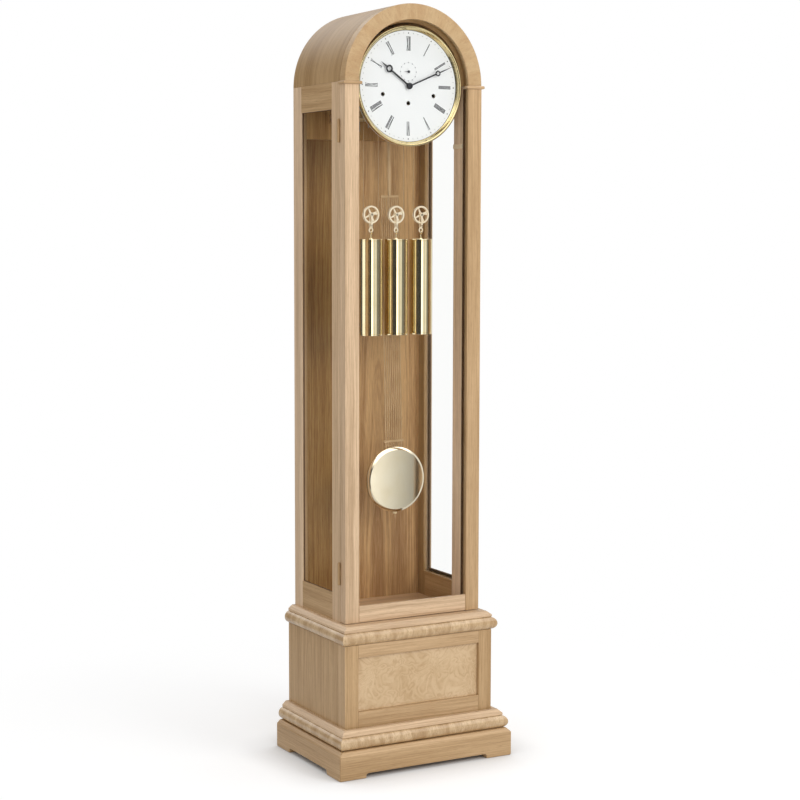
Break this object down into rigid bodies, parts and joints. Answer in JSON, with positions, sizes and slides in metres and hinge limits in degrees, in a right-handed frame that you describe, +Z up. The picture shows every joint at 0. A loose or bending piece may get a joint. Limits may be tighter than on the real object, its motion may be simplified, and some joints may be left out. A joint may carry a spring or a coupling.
{
  "type": "longcase clock",
  "caption": "Tall oak longcase clock with a round-arched glazed door, glazed sides, white dial, brass weights on pulleys, lattice pendulum and stepped plinth.",
  "frame": {"origin": "middle of the footprint at floor level", "axes": "+Z up, -Y towards the front door, +X to the right seen from the front"},
  "size_m": [0.524, 0.378, 2],
  "materials": {
    "oak": "satin lacquered light oak, straight grain",
    "oak_inside": "satin lacquered oak, shaded inside the case",
    "oak_burr": "satin lacquered burr veneer",
    "clear_glass": "clear float glass",
    "white_enamel": "satin white, printed black numerals",
    "satin_brass": "fine turned and brushed brass",
    "polished_brass": "polished lacquered brass",
    "steel": "bright drawn steel",
    "black_steel": "black, semi gloss",
    "cast_iron": "black painted casting"
  },
  "bodies": {
    "case": {"plinth_front_board": "oak", "plinth_side_boards": "oak", "lower_back_boards": "oak_inside", "base_deck": "oak", "lower_torus_moulding": "oak_burr", "lower_step_moulding": "oak", "base_corner_posts": "oak", "base_front_rails": "oak", "base_front_panel": "oak_burr", "base_side_panels": "oak", "trunk_deck": "oak", "upper_torus_moulding": "oak_burr", "upper_step_moulding": "oak", "case_floor_board": "oak_inside", "side_stiles": "oak", "side_rails": "oak", "side_glass_panes": "clear_glass", "back_panel": "oak_inside", "sound_board": "oak_inside", "front_arch_rib": "oak_inside", "roof_skin": "oak", "movement_bracket": "oak_inside", "dial_plate": "white_enamel", "dial_bezel": "satin_brass", "movement_plates": "polished_brass", "chime_block": "cast_iron", "chime_rods": "steel", "hinge_case_leaves": "satin_brass", "hinge_pins": "satin_brass", "door_catch": "satin_brass", "left_cable": "steel", "centre_cable": "steel", "right_cable": "steel"},
    "door": {"door_stiles": "oak", "door_bottom_rail": "oak", "door_arch_head": "oak", "door_glass": "clear_glass", "door_capital_beads": "oak", "hinge_door_leaves": "satin_brass"},
    "minute_hand": {"minute_hand": "black_steel"},
    "hour_hand": {"hour_hand": "black_steel"},
    "seconds_train": {"seconds_hand": "black_steel", "escape_wheel": "polished_brass"},
    "anchor": {"anchor_and_crutch": "steel"},
    "pendulum": {"pendulum_rods": "polished_brass", "pendulum_bob": "polished_brass"},
    "rating_nut": {"rating_nut": "polished_brass"},
    "hammers": {"chime_hammers": "polished_brass"},
    "left_weight": {"left_weight": "polished_brass", "left_stirrup": "satin_brass"},
    "left_pulley": {"left_pulley": "satin_brass"},
    "left_drum": {"left_drum": "polished_brass"},
    "centre_weight": {"centre_weight": "polished_brass", "centre_stirrup": "satin_brass"},
    "centre_pulley": {"centre_pulley": "satin_brass"},
    "centre_drum": {"centre_drum": "polished_brass"},
    "right_weight": {"right_weight": "polished_brass", "right_stirrup": "satin_brass"},
    "right_pulley": {"right_pulley": "satin_brass"},
    "right_drum": {"right_drum": "polished_brass"}
  },
  "joints": [
    {"name": "door_hinge", "type": "hinge", "parent": "case", "child": "door", "pos_m": [-0.20775, -0.0795, 1.1], "axis": [0, 0, -1], "range_deg": [0, 100]},
    {"name": "minute_hand_turn", "type": "hinge", "parent": "case", "child": "minute_hand", "pos_m": [0, -0.084, 1.791], "axis": [0, 1, 0], "continuous": true},
    {"name": "hour_hand_turn", "type": "hinge", "parent": "case", "child": "hour_hand", "pos_m": [0, -0.08, 1.791], "axis": [0, 1, 0], "continuous": true},
    {"name": "seconds_turn", "type": "hinge", "parent": "case", "child": "seconds_train", "pos_m": [0, -0.023, 1.828], "axis": [0, 1, 0], "continuous": true},
    {"name": "pendulum_swing", "type": "hinge", "parent": "case", "child": "pendulum", "pos_m": [0, 0.039, 1.852], "axis": [0, 1, 0], "range_deg": [-1.25, 3.75]},
    {"name": "anchor_rock", "type": "hinge", "parent": "case", "child": "anchor", "pos_m": [0, -0.023, 1.852], "axis": [0, 1, 0], "range_deg": [-1.25, 3.75]},
    {"name": "rating_nut_turn", "type": "hinge", "parent": "pendulum", "child": "rating_nut", "pos_m": [0.02622, 0.039, 0.65029], "axis": [-0.0218, 0, 0.9998], "continuous": true},
    {"name": "hammer_lift", "type": "hinge", "parent": "case", "child": "hammers", "pos_m": [0, 0.111, 1.905], "axis": [1, 0, 0], "range_deg": [-20, 0], "stiffness_Nm_per_rad": 0.2, "springref_deg": 17.19},
    {"name": "left_weight_run", "type": "slide", "parent": "case", "child": "left_weight", "axis": [0, 0, 1], "range_m": [-0.73, 0.15], "deforming": ["left_cable"]},
    {"name": "left_pulley_turn", "type": "hinge", "parent": "left_weight", "child": "left_pulley", "pos_m": [-0.076, -0.011, 1.458], "axis": [0, 1, 0], "range_deg": [-1860, 390]},
    {"name": "left_drum_turn", "type": "hinge", "parent": "case", "child": "left_drum", "pos_m": [-0.076, -0.011, 1.768], "axis": [0, 1, 0], "range_deg": [-3720, 770]},
    {"name": "centre_weight_run", "type": "slide", "parent": "case", "child": "centre_weight", "axis": [0, 0, 1], "range_m": [-0.73, 0.15], "deforming": ["centre_cable"]},
    {"name": "centre_pulley_turn", "type": "hinge", "parent": "centre_weight", "child": "centre_pulley", "pos_m": [0, -0.011, 1.458], "axis": [0, 1, 0], "range_deg": [-1860, 390]},
    {"name": "centre_drum_turn", "type": "hinge", "parent": "case", "child": "centre_drum", "pos_m": [0, -0.011, 1.747], "axis": [0, 1, 0], "range_deg": [-3720, 770]},
    {"name": "right_weight_run", "type": "slide", "parent": "case", "child": "right_weight", "axis": [0, 0, 1], "range_m": [-0.73, 0.15], "deforming": ["right_cable"]},
    {"name": "right_pulley_turn", "type": "hinge", "parent": "right_weight", "child": "right_pulley", "pos_m": [0.076, -0.011, 1.458], "axis": [0, 1, 0], "range_deg": [-1860, 390]},
    {"name": "right_drum_turn", "type": "hinge", "parent": "case", "child": "right_drum", "pos_m": [0.076, -0.011, 1.768], "axis": [0, 1, 0], "range_deg": [-3720, 770]}
  ],
  "couplings": [
    {"joint": "hour_hand_turn", "follows": "minute_hand_turn", "ratio": 0.083333},
    {"joint": "anchor_rock", "follows": "pendulum_swing", "ratio": 1},
    {"joint": "left_pulley_turn", "follows": "left_weight_run", "rad_per_m": 44.321},
    {"joint": "left_drum_turn", "follows": "left_weight_run", "rad_per_m": 88.643},
    {"joint": "centre_pulley_turn", "follows": "centre_weight_run", "rad_per_m": 44.321},
    {"joint": "centre_drum_turn", "follows": "centre_weight_run", "rad_per_m": 88.643},
    {"joint": "right_pulley_turn", "follows": "right_weight_run", "rad_per_m": 44.321},
    {"joint": "right_drum_turn", "follows": "right_weight_run", "rad_per_m": 88.643}
  ]
}
